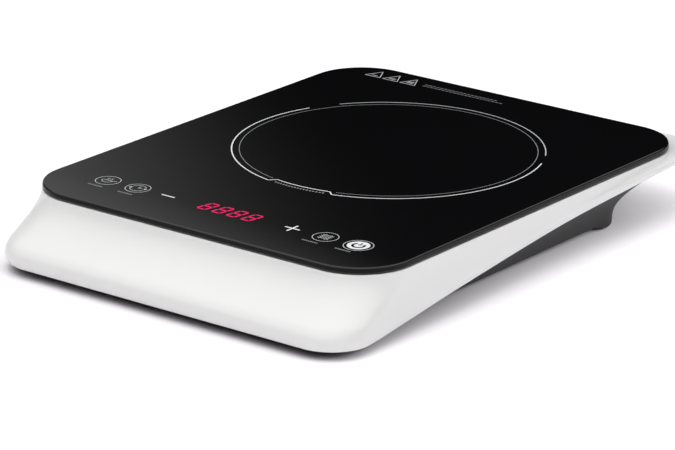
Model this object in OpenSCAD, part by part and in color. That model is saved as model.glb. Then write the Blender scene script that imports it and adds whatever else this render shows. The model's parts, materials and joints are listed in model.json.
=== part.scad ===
// Portable electric induction cooktop: a glass plate on a flared white housing,
// a dark base tub with feet, a coil, a power board, a cooling fan and a touch panel.
// Millimetres. +Z up, the front (touch panel) faces -Y, the origin is on the ground
// under the middle of the whole outline.

/* [Glass] */
// Width of the glass plate
glass_w = 280; // [276:1:284]
// Depth of the glass plate
glass_d = 350; // [346:1:354]
// Thickness of the glass plate
glass_t = 4; // [3:0.5:4]
// Corner radius of the glass plate
glass_r = 38; // [36:1:40]

/* [Body] */
// Height of the glass top above the ground
body_h = 50; // [50:1:52]
// How far the front flare stands out in front of the glass
front_flare = 29.5; // [27:0.5:31]
// How far the rear lip stands out behind the glass
rear_flare = 18; // [16:0.5:20]
// How far each side flares out at the rear corners
side_flare = 5; // [4:0.5:6]
// Wall thickness of the upper housing
housing_wall = 3; // [2.6:0.2:3.2]
// Thickness of the deck that carries the glass
deck_t = 2.4; // [2:0.2:2.8]

/* [Base] */
// Height of the base floor above the ground
floor_z = 5; // [4:0.5:5.5]
// Thickness of the base floor
floor_t = 1.8; // [1.6:0.1:2]
// Half width of the flat base floor
floor_half_w = 121; // [120:1:123]
// Radius of each rubber foot
foot_r = 9; // [8:0.5:9.5]

/* [Cooking zone] */
// Distance of the zone's centre behind the middle of the glass
zone_back = 29.5; // [26:0.5:32]
// Outer radius of the coil winding
coil_r = 88; // [84:1:90]
// Inner radius of the coil winding
coil_hole_r = 26; // [24:1:30]

/* [Fan] */
// Side of the square fan frame
fan_w = 80; // [76:1:82]
// Depth of the fan frame
fan_h = 15; // [15:1:16]
// Radius of the fan shaft
fan_shaft_r = 1.5; // [1.2:0.1:1.6]
// Radial clearance of the shaft in its bearing
fan_clearance = 0.05; // [0.03:0.01:0.08]
// Number of fan blades
fan_blades = 7; // [5:1:9]

/* [Hidden] */
$fn = 48;

glass_shift = (front_flare - rear_flare) / 2;    // the glass sits behind the origin by this
glass_bottom = body_h - glass_t;
seal_t = 0.6;
deck_top = glass_bottom - seal_t;
deck_bottom = deck_top - deck_t;
zone_y = zone_back + glass_shift;
lip_r_loss = 11;               // the corner radius shrinks by this at the front lip
rear_r_loss = 6;
side_steps = 12;               // points along a side of an outline
corner_steps = 7;              // points round a corner of an outline
base_gap = 0.3;                // gap between the housing's edge and the base rim
floor_top = floor_z + floor_t;
inlet_x = -80;
inlet_z = 13;
fan_pos = [62, -100];
fan_z = 8;
fan_screw_at = fan_w / 2 - 4.25;
foot_front_at = [108, -158];
foot_rear_at = [110.5, 112.5];
foot_h = 3.2;
head_seat_z = 17;               // the housing screws' heads seat here
screw_post_r = 5;               // posts for the housing screws
small_post_r = 3.6;             // posts for the board and the fan
coil_post_r = 4.8;
coil_post_top = 26;
pilot_r = 1.3;
pilot_z = floor_z + 0.6;        // bottom of the pilot holes in the floor posts
gland_y = 124;                  // inner end of the cord inlet
gland_l = 28.2;
post_top = 22;                 // the base posts meet the housing bosses at this height
board_low = [-106, -152];      // corner of the main board
board_size = [98, 132];
board_z = 11;
board_t = 1.6;
board_top = board_z + board_t;
touch_y = glass_shift - 135;   // row of touch fields
touch_x = [-98.8, -74.1, -49.4, 49.5, 75.1, 100.2];
panel_z = 38.4;                // underside of the display board
panel_top = panel_z + 1.6;
coil_z = 40.2;                 // underside of the winding
coil_h = 5;
former_t = 3;
former_z = coil_z - former_t;
lead_x = 3.5 - coil_hole_r;     // the inner coil lead goes down here
ear_at = coil_r + 10;          // distance of the coil's fixing ears from its centre
wire_sides = 8;

// ---- curves and outlines of the two shells ----

// Each curve runs from the glass edge [0, 0] out and down to the lip's lower edge [.., 1]:
// the share of the flare, then the share of the drop.
front_curve = [
    [[0, 0], [0.07, 0.25], [0.41, 0.44], [0.85, 0.66]],
    [[0.85, 0.66], [0.97, 0.72], [1, 0.78], [1, 0.84]],
    [[1, 0.84], [1, 0.91], [0.98, 0.97], [0.93, 1]]];
rear_curve = [
    [[0, 0], [0.13, 0.3], [0.47, 0.5], [0.8, 0.52]],
    [[0.8, 0.52], [0.93, 0.53], [1, 0.6], [1, 0.72]],
    [[1, 0.72], [1, 0.85], [0.99, 1], [0.93, 1]]];
curve_steps = [6, 4, 3];

function smooth(t) = let (c = min(1, max(0, t))) c * c * (3 - 2 * c);
function soft_min(a, b, k) = min(a, b) - pow(max(k - abs(a - b), 0), 2) / (4 * k);
function soft_max(a, b, k) = -soft_min(-a, -b, k);
function bezier(p, t) = p[0] * pow(1 - t, 3) + 3 * p[1] * t * pow(1 - t, 2)
    + 3 * p[2] * t * t * (1 - t) + p[3] * pow(t, 3);
function along(curve) = [curve[0][0], for (s = [0:2], i = [1:curve_steps[s]])
    bezier(curve[s], i / curve_steps[s])];

// Height of the housing's lower edge: level in front, rising, then nearly level
front_edge_z = 5.5;
function edge_z(y) = soft_max(front_edge_z,
    soft_min(6.6 + 0.126 * (y + 159), 28.6 + 0.06 * (y - 16), 9), 1.5);

// Half width of the housing where its flare is "out" of full
function side_x(y, out) = glass_w / 2 + side_flare * out * smooth((y - 20) / 150);

// A closed outline, symmetric about the Y axis, with round corners
function outline(front_y, rear_y, rf, rr, out, inset) =
    let (y0 = front_y + rf, y1 = rear_y - rr, xf = side_x(y0, out) - inset,
        xr = side_x(y1, out) - inset, n = side_steps, m = corner_steps)
    [for (i = [0:n]) let (y = y0 + (y1 - y0) * i / n) [side_x(y, out) - inset, y],
     for (i = [1:m]) let (a = 90 * i / m) [xr - rr + rr * cos(a), y1 + rr * sin(a)],
     for (i = [0:m]) let (a = 90 * i / m) [rr - xr - rr * sin(a), y1 + rr * cos(a)],
     for (i = [1:n]) let (y = y1 + (y0 - y1) * i / n) [inset - side_x(y, out), y],
     for (i = [1:m]) let (a = 90 * i / m) [rf - xf - rf * cos(a), y0 - rf * sin(a)],
     for (i = [0:m - 1]) let (a = 90 * i / m) [xf - rf + rf * sin(a), y0 - rf * cos(a)]];

// One ring of the housing: f and r are points of the front and rear curves
function housing_ring(f, r, inset, top) =
    [for (p = outline(glass_shift - glass_d / 2 - front_flare * f[0] + inset,
            glass_shift + glass_d / 2 + rear_flare * r[0] - inset,
            glass_r - lip_r_loss * f[0] - inset, glass_r - rear_r_loss * r[0] - inset,
            r[0], inset + 1.4 * smooth((f[1] - 0.84) / 0.16)))
        let (m = smooth((p[1] + 100) / 220), g = f[1] * (1 - m) + r[1] * m)
        [p[0], p[1], top - (top - edge_z(p[1])) * g]];

front_points = along(front_curve);
rear_points = along(rear_curve);
last = len(front_points) - 1;

// The rim of the base follows the housing's lower edge
function rim_ring(inset, lift) = [for (p = housing_ring(front_points[last],
    rear_points[last], inset, deck_top)) [p[0], p[1], p[2] - base_gap + lift(p[1])]];
function tongue(y) = min(3, 0.18 * (deck_top - edge_z(y)));

// Outline of the flat floor, and the wall that sweeps from it out to the rim
floor_front_y = -180;
floor_rear_y = 136;
floor_front_r = 30;
floor_rear_r = 26;
function floor_ring(inset, z) = [for (p = outline(floor_front_y + inset,
    floor_rear_y - inset, floor_front_r - inset, floor_rear_r - inset, 0, glass_w / 2 - floor_half_w + inset))
    [p[0], p[1], z]];
wall_power = 2.2;              // how late the wall turns outward
function swept(low, high, t) = [for (i = [0:len(low) - 1])
    let (k = pow(t, wall_power), a = low[i], b = high[i])
    [a[0] + (b[0] - a[0]) * k, a[1] + (b[1] - a[1]) * k, a[2] + (b[2] - a[2]) * t]];

// Triangles that join ring k to the next one, and back to the first if it closes
function band(k, n, count) = [for (i = [0:n - 1]) let (j = (i + 1) % n, a = k * n,
    b = ((k + 1) % count) * n) each [[a + i, a + j, b + j], [a + i, b + j, b + i]]];
function flat(list) = [for (l = list) each l];

module ring_solid(rings) {
    n = len(rings[0]);
    count = len(rings);
    polyhedron(flat(rings), flat([for (k = [0:count - 1]) band(k, n, count)]));
}

// Caps: small rings close with one polygon, and outlines with strips across the Y axis
function round_cap(n) = [[for (i = [0:n - 1]) i]];
function strip_cap(n) = let (half = side_steps + corner_steps)
    [for (i = [half + 1:n / 2 + half - 1]) let (a = (n + 2 * half + 1 - i) % n,
        b = (n + 2 * half - i) % n) each [[i, i + 1, b], [i, b, a]]];
function turned(cap) = [for (f = cap) [for (i = [len(f) - 1:-1:0]) f[i]]];
function lifted(cap, by) = [for (f = cap) [for (i = f) i + by]];

module tube_solid(rings) {
    n = len(rings[0]);
    count = len(rings);
    polyhedron(flat(rings), concat(turned(round_cap(n)), lifted(round_cap(n), (count - 1) * n),
        flat([for (k = [0:count - 2]) band(k, n, count)])));
}

module bowl_solid(rings) {
    n = len(rings[0]);
    count = len(rings);
    polyhedron(flat(rings), concat(turned(strip_cap(n)), lifted(strip_cap(n), (count - 1) * n),
        flat([for (k = [0:count - 2]) band(k, n, count)])));
}

// ---- plain shapes used by several pieces ----

module round_plate(w, d, r, h) {
    linear_extrude(h) rounded(w, d, r);
}

module rounded(w, d, r) {
    union() {
        square([w - 2 * r, d], center = true);
        square([w, d - 2 * r], center = true);
        for (x = [-1, 1], y = [-1, 1]) translate([x * (w / 2 - r), y * (d / 2 - r)]) circle(r);
    }
}

module tube(r, hole_r, h) {
    linear_extrude(h) difference() {
        circle(r);
        circle(hole_r);
    }
}

module block(low, size) {
    translate(low) cube(size);
}

module at_mirrored(p) {
    for (side = [0, 1]) mirror([side, 0, 0]) translate(p) children();
}

// Round wire swept along a few points; side is any direction that no stretch runs along
function unit(v) = v / norm(v);
function heading(p, i) = unit((i < len(p) - 1 ? unit(p[i + 1] - p[i]) : [0, 0, 0])
    + (i > 0 ? unit(p[i] - p[i - 1]) : [0, 0, 0]));
module wire(points, r, side) {
    tube_solid([for (i = [0:len(points) - 1]) let (t = heading(points, i),
        s = unit(cross(t, side)), u = cross(s, t))
        [for (k = [0:wire_sides - 1]) let (a = 360 * k / wire_sides)
            points[i] + r * (cos(a) * s + sin(a) * u)]]);
}

// A screw that points up: its head starts at z = 0 and its shank goes on from there
module screw_up(head_r, head_h, shank_r, shank_l) {
    difference() {
        cylinder(r = head_r, h = head_h);
        translate([0, 0, -1]) linear_extrude(1 + head_h * 0.6) {
            square([head_r * 1.2, 0.8], center = true);
            square([0.8, head_r * 1.2], center = true);
        }
    }
    translate([0, 0, head_h]) cylinder(r = shank_r, h = shank_l);
}

module screw_down(head_r, head_h, shank_r, shank_l) {
    rotate([180, 0, 0]) screw_up(head_r, head_h, shank_r, shank_l);
}

// ---- glass and shells ----

module glass_plate() {
    color([0.05, 0.05, 0.06]) translate([0, glass_shift, glass_bottom]) {
        round_plate(glass_w, glass_d, glass_r, glass_t);
    }
}

seal_edge = 6;                 // the seal stays this far inside the glass edge
opening_w = 244;               // opening of the deck, which the coil and the panel fill
opening_front = -153;
opening_rear = 160;
module glass_seal() {
    color([0.2, 0.2, 0.2]) translate([0, 0, deck_top]) linear_extrude(seal_t) difference() {
        translate([0, glass_shift]) rounded(glass_w - 2 * seal_edge, glass_d - 2 * seal_edge,
            glass_r - seal_edge);
        translate([0, (opening_front + opening_rear) / 2])
            rounded(opening_w + 6, opening_rear - opening_front + 6, 23);
    }
}

housing_screw_at = [[113, -128], [113, -20], [104, 72]];
module upper_housing() {
    edge = housing_ring([0, 0], [0, 0], 0.6, deck_top);
    hole_inset = (glass_w - opening_w) / 2;
    hole = outline(opening_front, opening_rear, 20, 20, 0, hole_inset);
    color([0.93, 0.94, 0.94]) difference() {
        union() {
            ring_solid(concat(
                [edge],
                [for (i = [0:last]) [for (p = housing_ring(front_points[i], rear_points[i], 0,
                    deck_top)) [p[0], p[1], p[2] - (i == 0 ? 0.6 : 0)]]],
                [for (i = [last:-1:0]) housing_ring(front_points[i], rear_points[i],
                    housing_wall, i == last ? deck_top : deck_bottom)],
                [[for (p = hole) [p[0], p[1], deck_bottom]]],
                [[for (p = hole) [p[0], p[1], deck_top]]]));
            for (p = housing_screw_at) at_mirrored(p) housing_boss(opening_w / 2 + 4 - p[0]);
        }
        for (p = bracket_ear) at_mirrored(p) translate([0, 0, deck_bottom - 1])
            cylinder(r = 1.35, h = 3);
    }
}

// A boss for a self-tapping screw, hung from the deck by a web that reaches outward
module housing_boss(web) {
    difference() {
        union() {
            translate([0, 0, post_top]) cylinder(r = 4.6, h = deck_bottom + 1 - post_top);
            translate([0, -3, deck_bottom - 5]) cube([web, 6, 6]);
        }
        translate([0, 0, post_top - 1]) cylinder(r = 1.6, h = 14);
    }
}

module base_shell() {
    color([0.16, 0.16, 0.17]) difference() {
        union() {
            base_tub();
            for (p = housing_screw_at) at_mirrored(p) floor_post(screw_post_r, post_top);
            for (p = [foot_front_at, foot_rear_at]) at_mirrored(p) foot_boss();
            for (p = board_posts()) translate(p) floor_post(small_post_r, board_z);
            for (p = fan_posts()) translate(p) floor_post(small_post_r, fan_z);
            for (p = coil_ears()) translate(p) floor_post(coil_post_r, coil_post_top);
            translate([inlet_x, gland_y - 2, inlet_z]) rotate([-90, 0, 0])
                cylinder(r = 9, h = gland_l - 1.2);
        }
        for (p = housing_screw_at) at_mirrored(p) {
            cylinder(r = 3.7, h = head_seat_z);
            translate([0, 0, head_seat_z - 1]) cylinder(r = 2.1, h = 8);
        }
        for (p = [foot_front_at, foot_rear_at]) at_mirrored(p) cylinder(r = foot_r, h = foot_h);
        for (p = concat(board_posts(), fan_posts())) translate([p[0], p[1], pilot_z])
            cylinder(r = pilot_r, h = 10);
        for (p = coil_ears()) translate([p[0], p[1], 12]) cylinder(r = 1.5, h = 20);
        translate([inlet_x, gland_y - 12, inlet_z]) rotate([-90, 0, 0])
            cylinder(r = gland_r, h = gland_l + 22);
        intake_slots();
        exhaust_slots();
    }
}

module base_tub() {
    outer_floor = floor_ring(0, floor_z);
    inner_floor = floor_ring(2.4, floor_top);
    steps = [0, 0.12, 0.26, 0.42, 0.6, 0.8, 1];
    level = function (y) 0;
    up = function (y) tongue(y);
    outer_rim = rim_ring(0.8, level);
    ledge = rim_ring(3.4, level);
    tongue_out = rim_ring(3.4, up);
    tongue_in = rim_ring(5, up);
    bowl_solid(concat(
        [for (t = steps) swept(inner_floor, tongue_in, t)],
        [tongue_out, ledge],
        [for (i = [len(steps) - 1:-1:0]) swept(outer_floor, outer_rim, steps[i])]));
}

module floor_post(r, top) {
    translate([0, 0, floor_z + 0.5]) cylinder(r = r, h = top - floor_z - 0.5);
}

module foot_boss() {
    translate([0, 0, 1.4]) cylinder(r1 = foot_r + 1.5, r2 = foot_r + 3.2, h = floor_z - 0.1,
        $fn = 64);
}

function board_posts() = [for (x = [5, board_size[0] - 5], y = [5, board_size[1] - 5])
    [board_low[0] + x, board_low[1] + y]];
function fan_posts() = [for (x = [-1, 1], y = [-1, 1])
    [fan_pos[0] + x * fan_screw_at, fan_pos[1] + y * fan_screw_at]];
function coil_ears() = [[ear_at, zone_y], [-ear_at, zone_y], [0, zone_y - ear_at]];

// Curved intake slots below the fan, in three rings
module intake_slots() {
    translate([fan_pos[0], fan_pos[1], floor_z - 1]) linear_extrude(floor_t + 2)
        difference() {
            for (r = [13, 21, 29]) difference() {
                circle(r + 4.5);
                circle(r);
            }
            for (a = [0:45:135]) rotate(a) square([100, 3.2], center = true);
        }
}

// Upright exhaust slots through the rear wall, clear of the cord inlet
slot_pitch = 7;
module exhaust_slots() {
    for (i = [0:21]) let (x = inlet_x + 24 + i * slot_pitch)
        block([x - 1.7, floor_rear_y - 12, 10], [3.4, 60, 15]);
}

module foot() {
    cylinder(r = foot_r - 0.8, h = 0.8);
    translate([0, 0, 0.8]) cylinder(r = foot_r, h = foot_h - 0.8);
}
module foot_front_left() {
    color([0.1, 0.1, 0.1]) translate([-foot_front_at[0], foot_front_at[1]]) foot();
}
module foot_front_right() {
    color([0.1, 0.1, 0.1]) translate(foot_front_at) foot();
}
module foot_rear_left() {
    color([0.1, 0.1, 0.1]) translate([-foot_rear_at[0], foot_rear_at[1]]) foot();
}
module foot_rear_right() {
    color([0.1, 0.1, 0.1]) translate(foot_rear_at) foot();
}

// Bush with a flange that lines the cord inlet
gland_bore_r = 3.6;
gland_r = 6;
module cord_gland() {
    color([0.08, 0.08, 0.08]) translate([inlet_x, gland_y, inlet_z]) rotate([-90, 0, 0])
        rotate_extrude() polygon([[gland_bore_r, 0], [gland_r, 0], [gland_r, gland_l - 3.2],
            [8, gland_l - 3.2], [8, gland_l - 0.6], [7.4, gland_l], [gland_bore_r, gland_l]]);
}

// ---- coil ----

module mica_sheet() {
    color([0.75, 0.72, 0.6]) translate([0, zone_y, glass_bottom - 0.6]) tube(coil_r + 3, 14, 0.5);
}

module coil_winding() {
    color([0.72, 0.42, 0.2]) translate([0, zone_y, coil_z]) tube(coil_r, coil_hole_r, coil_h);
}

module coil_former() {
    color([0.2, 0.2, 0.22]) translate([0, zone_y, former_z]) difference() {
        union() {
            tube(coil_r + 4, coil_r + 1, former_t + coil_h - 0.2);
            tube(coil_hole_r + 4, 12, former_t);
            tube(coil_r + 2, coil_r - 10, former_t);
            tube(60, 54, former_t);
            for (a = [0:30:330]) rotate(a) block([20, -5, 0], [coil_r - 18, 10, former_t]);
            for (p = coil_ears()) translate([p[0], p[1] - zone_y]) cylinder(r = 7, h = former_t);
        }
        for (p = coil_ears()) translate([p[0], p[1] - zone_y, -1]) cylinder(r = 1.8, h = 9);
        translate([lead_x, 0, -1]) cylinder(r = 2.6, h = 9);
        block([-12, -coil_r - 6, former_t], [8, 8, 9]);
    }
}

module ferrite_bars() {
    color([0.25, 0.25, 0.27]) translate([0, zone_y, former_z - 5])
        for (a = [0:60:300]) rotate(a + 30) block([30, -6, 0], [50, 12, 5]);
}

module coil_springs() {
    color([0.7, 0.7, 0.72]) for (p = coil_ears()) translate([p[0], p[1], 26])
        tube(4.4, 3.4, former_z - 26);
}

module coil_screws() {
    color([0.75, 0.75, 0.76]) for (p = coil_ears())
        translate([p[0], p[1], coil_z + 2]) screw_down(3.4, 2, 1.45, 22);
}

module thermistor() {
    color([0.85, 0.85, 0.8]) translate([0, zone_y, glass_bottom - 6.4]) {
        cylinder(r = 4.5, h = 5);
        translate([0, 0, 5]) cylinder(r = 3.5, h = 1.3);
    }
}

module thermistor_holder() {
    color([0.9, 0.9, 0.88]) translate([0, zone_y, 34]) difference() {
        union() {
            cylinder(r = 6.5, h = 9.5);
            translate([0, 0, former_z - 34 - 1.6]) cylinder(r = 14, h = 1.6);
        }
        translate([0, 0, glass_bottom - 6.4 - 34]) cylinder(r = 4.6, h = 20);
        translate([0, 0, -1]) cylinder(r = 2, h = 9);
    }
}

module thermistor_lead() {
    color([0.9, 0.9, 0.9]) wire([[0, zone_y, glass_bottom - 6.8], [0, zone_y, 30],
        [-12, 20, 28], [-14, -10, 25], [-21, -27, 22], [-21, -27.5, 18]], 0.9, [1, 0, 0]);
}

module coil_leads() {
    color([0.8, 0.3, 0.2]) {
        wire([[lead_x, zone_y, 43], [lead_x, zone_y, 35], [-12, 10, 31], [-4, -42, 30],
            [-9, -72, 27], [-14, -78, 25.2]], 1.8, [1, 0, 0]);
        wire([[-8, zone_y - coil_r - 0.4, 42.6], [-8, zone_y - coil_r - 6, 42.4],
            [-14, -66, 38], [-15, -84, 33], [-14, -98, 25.2]], 1.8, [1, 0, 0]);
    }
}

// ---- power board ----

module main_board() {
    color([0.15, 0.35, 0.2]) translate([0, 0, board_z]) linear_extrude(board_t) difference() {
        translate(board_low) square(board_size);
        for (p = board_posts()) translate(p) circle(1.5);
    }
}

sink_low = [-88, -104];
sink_size = [64, 38];
sink_z = 19;
package_at = [[-74, -85], [-38, -85]];
module heatsink() {
    color([0.75, 0.76, 0.78]) difference() {
        union() {
            block([sink_low[0], sink_low[1], sink_z], [sink_size[0], sink_size[1], 4]);
            for (i = [0:11]) block([sink_low[0], sink_low[1] + i * 3.3, sink_z + 3.5],
                [sink_size[0], 1.5, 16.5]);
            for (x = [0, sink_size[0] - 3]) block([sink_low[0] + x, sink_low[1], board_top],
                [3, 8, sink_z - board_top + 0.5]);
        }
        for (p = package_at) translate([p[0], p[1], sink_z - 1]) cylinder(r = 1.5, h = 4);
    }
}

module package(p, w) {
    difference() {
        union() {
            block([p[0] - w / 2, p[1] - 10, 13.7], [w, 21, 4.9]);
            for (x = [-5.4, 0, 5.4]) {
                block([p[0] + x - 0.6, p[1] + 11, 15], [1.2, 4, 0.8]);
                block([p[0] + x - 0.6, p[1] + 14.2, board_top], [1.2, 0.8, 3.2]);
            }
        }
        translate([p[0], p[1], 13]) cylinder(r = 1.6, h = 8);
    }
}

module igbt() {
    color([0.12, 0.12, 0.12]) package(package_at[0], 16);
}
module bridge_rectifier() {
    color([0.15, 0.15, 0.15]) package(package_at[1], 20);
}

module thermal_pads() {
    color([0.8, 0.8, 0.85]) for (p = package_at) difference() {
        block([p[0] - 8, p[1] - 10, 18.6], [16, 21, 0.4]);
        translate([p[0], p[1], 18]) cylinder(r = 1.6, h = 2);
    }
}

module heatsink_screws() {
    color([0.75, 0.75, 0.76]) for (p = package_at) translate([p[0], p[1], board_top + 0.1])
        screw_up(2.8, 1, 1.4, 7.5);
}

module film_capacitor(low, size) {
    block([low[0], low[1], board_top], size);
}
module resonant_capacitor() {
    color([0.75, 0.6, 0.2]) film_capacitor([-56, -62], [31, 17, 17]);
}
module filter_capacitor() {
    color([0.75, 0.6, 0.2]) film_capacitor([-56, -43], [31, 14, 17]);
}
module x_capacitor() {
    color([0.85, 0.75, 0.2]) film_capacitor([-104, -106], [10, 26, 16]);
}

// A toroid core with its axis upright, and the copper loops wound on it
module toroid(r, bar, z) {
    rotate_extrude() translate([r, z]) square([bar, bar * 1.5], center = true);
}
module loops(r, bar, z, count, span) {
    for (i = [0:count - 1]) rotate(i * span / count) translate([r, 0, z]) rotate([90, 0, 0])
        linear_extrude(1.4, center = true) difference() {
            square([bar + 3.2, bar * 1.5 + 3.2], center = true);
            square([bar + 0.4, bar * 1.5 + 0.4], center = true);
        }
}
choke_at = [-75, -43, board_top + 8];
module choke_core() {
    color([0.8, 0.75, 0.3]) translate(choke_at) toroid(9.5, 6, 0);
}
module choke_winding() {
    color([0.72, 0.42, 0.2]) translate(choke_at) loops(9.5, 6, 0, 18, 340);
}
filter_at = [-97, -68, board_top + 7.5];
module line_filter_core() {
    color([0.3, 0.3, 0.32]) translate(filter_at) toroid(5.4, 3, 0);
}
module line_filter_windings() {
    color([0.72, 0.42, 0.2]) translate(filter_at) for (a = [10, 190])
        rotate(a) loops(5.4, 3, 0, 5, 150);
}

module fuse() {
    color([0.85, 0.85, 0.8]) translate([-100, -52, board_top + 3]) rotate([-90, 0, 0]) {
        cylinder(r = 2.6, h = 5);
        translate([0, 0, 5]) cylinder(r = 2.3, h = 10);
        translate([0, 0, 15]) cylinder(r = 2.6, h = 5);
    }
}

module varistor() {
    color([0.2, 0.3, 0.6]) translate([-89, -60, board_top + 6.5]) rotate([0, 90, 0])
        cylinder(r = 5.5, h = 4);
}

module current_transformer() {
    color([0.2, 0.2, 0.5]) difference() {
        block([-22, -59, board_top], [13, 12, 14]);
        translate([-30, -53, board_top + 8]) rotate([0, 90, 0]) cylinder(r = 2.2, h = 30);
    }
}

capacitor_at = [[-73, -141, 5, 18], [-60, -141, 5, 18], [-48, -143, 4, 12]];
module electrolytic_capacitors() {
    color([0.15, 0.2, 0.35]) for (c = capacitor_at) translate([c[0], c[1], board_top])
        cylinder(r = c[2], h = c[3]);
}

module smps_transformer() {
    color([0.85, 0.8, 0.3]) {
        block([-100, -134, board_top], [18, 18, 3]);
        block([-98, -132, board_top + 3], [14, 14, 9]);
        block([-100, -134, board_top + 12], [18, 18, 3]);
    }
}

module buzzer() {
    color([0.08, 0.08, 0.08]) translate([-36, -120, board_top]) difference() {
        cylinder(r = 6, h = 9);
        translate([0, 0, 6]) cylinder(r = 1, h = 5);
    }
}

module coil_terminals() {
    color([0.8, 0.65, 0.3]) for (y = [-78, -98]) translate([-14, y, board_top]) {
        cylinder(r = 4, h = 8);
        translate([0, 0, 8]) cylinder(r = 1.8, h = 2.6);
    }
}

module mains_terminals() {
    color([0.8, 0.8, 0.82]) for (x = [-92, -84, -76]) {
        block([x - 3.2, -24.5, board_top], [6.4, 0.8, 8]);
        block([x - 3.2, -26.5, board_top], [6.4, 5, 0.8]);
    }
}

chip_at = [[-72, -120, 10, 6], [-54, -122, 14, 8], [-24, -142, 8, 5]];
module driver_chips() {
    color([0.12, 0.12, 0.12]) for (c = chip_at) {
        block([c[0] - c[2] / 2, c[1] - c[3] / 2, board_top + 0.2], [c[2], c[3], 1.8]);
        for (x = [-c[2] / 2 + 1:1.5:c[2] / 2 - 1]) block([c[0] + x - 0.3,
            c[1] - c[3] / 2 - 1, board_top], [0.6, c[3] + 2, 0.4]);
    }
}

module board_connectors() {
    color([0.92, 0.9, 0.85]) {
        block([-26, -134, board_top], [16, 6, 5]);
        block([-16, -118, board_top], [6, 6, 6]);
        block([-24, -30, board_top], [6, 5, 5]);
    }
}

module board_screws() {
    color([0.75, 0.75, 0.76]) for (p = board_posts())
        translate([p[0], p[1], board_top + 1.8]) screw_down(2.8, 1.8, 1.25, 6.5);
}

// ---- fan ----

fan_bore = fan_w / 2 - 1.6;
module fan_frame() {
    color([0.1, 0.1, 0.11]) translate([fan_pos[0], fan_pos[1], fan_z]) {
        difference() {
            round_plate(fan_w, fan_w, 4, fan_h);
            translate([0, 0, -1]) cylinder(r = fan_bore, h = fan_h + 2, $fn = 96);
            for (x = [-1, 1], y = [-1, 1]) translate([x * fan_screw_at, y * fan_screw_at, -1])
                cylinder(r = 1.8, h = fan_h + 2);
            for (x = [-1, 1], y = [-1, 1]) translate([x * fan_screw_at, y * fan_screw_at, 3])
                difference() {
                    cylinder(r = 7, h = fan_h - 6);
                    cylinder(r = 3.6, h = fan_h - 6);
                }
        }
        tube(17, 3.2, 1.6);
        tube(4.2, 3.2, 8);
        difference() {
            for (a = [45:90:315]) rotate(a) block([16, -2, 0], [fan_bore - 15, 4, 2]);
            cylinder(r = 15, h = 5);
        }
    }
}

module fan_stator() {
    color([0.6, 0.4, 0.25]) translate([fan_pos[0], fan_pos[1], fan_z + 2.2]) {
        tube(6, 4.3, 5.4);
        for (a = [0:90:270]) rotate(a) {
            block([5.6, -2, 1.4], [5, 4, 2.6]);
            difference() {
                translate([0, 0, 0.8]) cylinder(r = 12, h = 3.8);
                cylinder(r = 10.2, h = 6);
                rotate(130) block([-20, 0, -1], [40, 40, 8]);
                rotate(-130) block([-20, -40, -1], [40, 40, 8]);
            }
        }
    }
}

module fan_bearing() {
    color([0.75, 0.6, 0.35]) translate([fan_pos[0], fan_pos[1], fan_z + 1])
        tube(3.2, fan_shaft_r + fan_clearance, 7);
}

hub_r = 16;
module fan_rotor() {
    color([0.14, 0.14, 0.15]) translate([fan_pos[0], fan_pos[1], fan_z]) {
        difference() {
            translate([0, 0, 2.4]) cylinder(r = hub_r, h = fan_h - 3.4);
            cylinder(r = hub_r - 1.4, h = fan_h - 3);
        }
        intersection() {
            for (i = [0:fan_blades - 1]) rotate(i * 360 / fan_blades)
                translate([hub_r + 10, 0, fan_h / 2 + 0.6]) rotate([38, 0, 0])
                    cube([26, 17, 1.4], center = true);
            translate([0, 0, 2.6]) tube(fan_bore - 1, hub_r - 0.6, fan_h - 3.8);
        }
    }
}

module fan_magnet() {
    color([0.3, 0.3, 0.3]) translate([fan_pos[0], fan_pos[1], fan_z + 2.6])
        tube(hub_r - 1.4, 12.6, 7.4);
}

module fan_shaft() {
    color([0.8, 0.8, 0.82]) translate([fan_pos[0], fan_pos[1], fan_z + 1.4])
        cylinder(r = fan_shaft_r, h = fan_h - 4.4);
}

module fan_screws() {
    color([0.75, 0.75, 0.76]) for (p = fan_posts())
        translate([p[0], p[1], fan_z + fan_h + 1.8]) screw_down(3, 1.8, 1.25, fan_h + 2);
}

module fan_lead() {
    color([0.75, 0.15, 0.1]) wire([[46, -141.4, 10], [36, -146, 10], [6, -146, 12],
        [-4, -130, 20], [-13, -115, 19.6]], 1, [0, 0, 1]);
}

module air_baffle() {
    color([0.25, 0.25, 0.27]) {
        block([12, -57, floor_top], [92, 1.6, 23.5]);
        block([12, -57, floor_top], [92, 8, 1.4]);
        block([102.4, -57, floor_top], [1.6, 40, 18.5]);
    }
}

// ---- touch panel ----

bracket_ear = [[126, -118], [60, -158]];
bracket_half = 107.6;
module display_bracket() {
    y0 = touch_y - 20;
    rise = deck_bottom - panel_z + 2;
    color([0.85, 0.85, 0.85]) difference() {
        union() {
            block([-bracket_half, y0, panel_z - 2], [2 * bracket_half, 39, 2]);
            for (s = [-1, 1]) {
                block([s * (bracket_half - 1) - 1, y0, panel_z - 2], [2, 39, rise]);
                block([s * 119.5 - 13, -123, deck_bottom - 1.6], [26, 10, 1.6]);
                block([s * 60 - 5, y0 - 11, deck_bottom - 1.6], [10, 13, 1.6]);
                block([s * 60 - 5, y0, panel_z - 2], [10, 1.6, rise]);
            }
        }
        for (p = bracket_ear) at_mirrored(p) translate([0, 0, 35]) cylinder(r = 1.6, h = 12);
        block([-27, -136, 30], [18, 8, 12]);
    }
}

module display_board() {
    color([0.1, 0.3, 0.15]) block([-105.4, touch_y - 17, panel_z], [210.8, 35, 1.6]);
}

module digit_display() {
    color([0.08, 0.08, 0.08]) block([-27, touch_y - 11, panel_top], [55, 20, 5.4]);
}

module touch_springs() {
    color([0.75, 0.75, 0.76]) for (x = touch_x) translate([x, touch_y, panel_top])
        tube(5, 4, glass_bottom - panel_top);
}

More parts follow.
